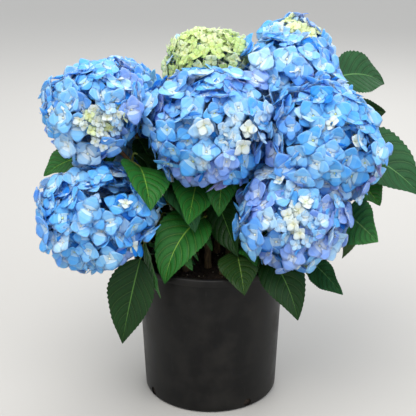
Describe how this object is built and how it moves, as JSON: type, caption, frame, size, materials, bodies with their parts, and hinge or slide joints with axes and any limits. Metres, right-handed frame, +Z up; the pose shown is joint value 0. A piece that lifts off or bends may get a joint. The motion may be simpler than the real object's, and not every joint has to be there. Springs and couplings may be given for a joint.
{
  "type": "potted hydrangea shrub",
  "caption": "Rounded mophead hydrangea shrub in bloom, with leafy shoots on woody canes, growing in a round tapered nursery pot filled with soil.",
  "frame": {"origin": "centre of the pot's flat underside", "axes": "+Z up along the pot's axis, -Y towards the side the shrub is looked at from, +X to that viewer's right"},
  "size_m": [0.5645, 0.4286, 0.5575],
  "materials": {
    "pot": "matte black with a slight sheen on the lip",
    "soil": "dark crumbly potting mix",
    "cane": "light brown bark",
    "leaves": "mid green, satin",
    "blue_petals": "soft cornflower blue",
    "green_petals": "soft cream green"
  },
  "bodies": {
    "root": {"pot": "pot", "soil": "soil", "cane_left": "cane", "cane_left_low": "cane", "cane_middle": "cane", "cane_right": "cane", "cane_right_side": "cane", "cane_right_low": "cane", "cane_back_left": "cane", "cane_back_right": "cane", "leaves_left": "leaves", "leaves_left_low": "leaves", "leaves_middle": "leaves", "leaves_right": "leaves", "leaves_right_side": "leaves", "leaves_right_low": "leaves", "leaves_back_left": "leaves", "leaves_back_right": "leaves", "bloom_left_upper": "blue_petals", "bloom_left_inner": "blue_petals", "bloom_left_low": "blue_petals", "bloom_left_side": "blue_petals", "bloom_middle": "blue_petals", "bloom_green": "green_petals", "bloom_right_upper": "blue_petals", "bloom_right_top": "blue_petals", "bloom_right_middle": "blue_petals", "bloom_right_side": "blue_petals", "bloom_right_low": "blue_petals", "bloom_back_left": "blue_petals", "bloom_back_right": "blue_petals", "bloom_back_low": "blue_petals"}
  },
  "joints": []
}
